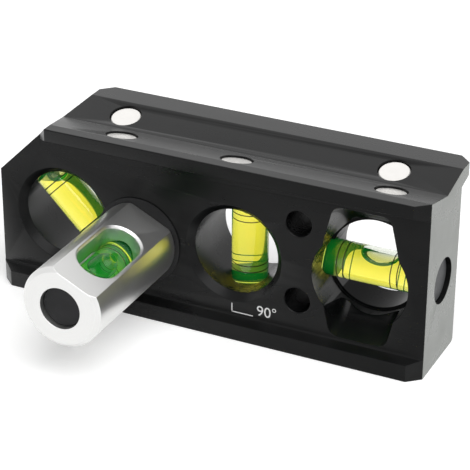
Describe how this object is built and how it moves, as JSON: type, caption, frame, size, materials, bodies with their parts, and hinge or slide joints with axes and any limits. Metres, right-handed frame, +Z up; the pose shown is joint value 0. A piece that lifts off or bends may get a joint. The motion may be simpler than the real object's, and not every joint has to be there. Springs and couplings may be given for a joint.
{
  "type": "three-axis magnetic level",
  "caption": "Short magnetic level: black flanged bar with a vee groove and disc magnets on top, vials in round windows, and a turning rod with a cross vial.",
  "frame": {"origin": "middle of the body's bottom face", "axes": "+X along the body to the end with the level vial, -Y out of the front face along the rod, +Z up"},
  "size_m": [0.15, 0.0876, 0.0604],
  "materials": {
    "black_anodised": "satin black anodised",
    "bright_aluminium": "fine turned",
    "steel": "zinc plated",
    "nickel": "nickel plated",
    "nylon": "moulded",
    "acrylic": "clear, polished",
    "fluid": "clear yellow-green liquid",
    "plug": "moulded"
  },
  "bodies": {
    "level": {"body": "black_anodised", "disc_spring": "steel", "level_plug": "plug", "level_vial_cap": "acrylic", "level_vial_fluid": "fluid", "level_vial_shell": "acrylic", "magnet_front_left": "nickel", "magnet_front_middle": "nickel", "magnet_front_right": "nickel", "magnet_rear_left": "nickel", "magnet_rear_right": "nickel", "rod_washer": "nylon", "slant_plug": "plug", "slant_vial_cap": "acrylic", "slant_vial_fluid": "fluid", "slant_vial_shell": "acrylic", "upright_plug": "plug", "upright_vial_cap": "acrylic", "upright_vial_fluid": "fluid", "upright_vial_shell": "acrylic"},
    "rod": {"cross_rod": "bright_aluminium", "cross_vial_shell": "acrylic", "cross_vial_cap": "acrylic", "cross_vial_fluid": "fluid", "cross_plug": "plug", "pivot_screw": "steel"}
  },
  "joints": [
    {"name": "rod_turn", "type": "hinge", "parent": "level", "child": "rod", "pos_m": [-0.0238, -0.037, 0.0262], "axis": [0, 1, 0], "continuous": true}
  ]
}
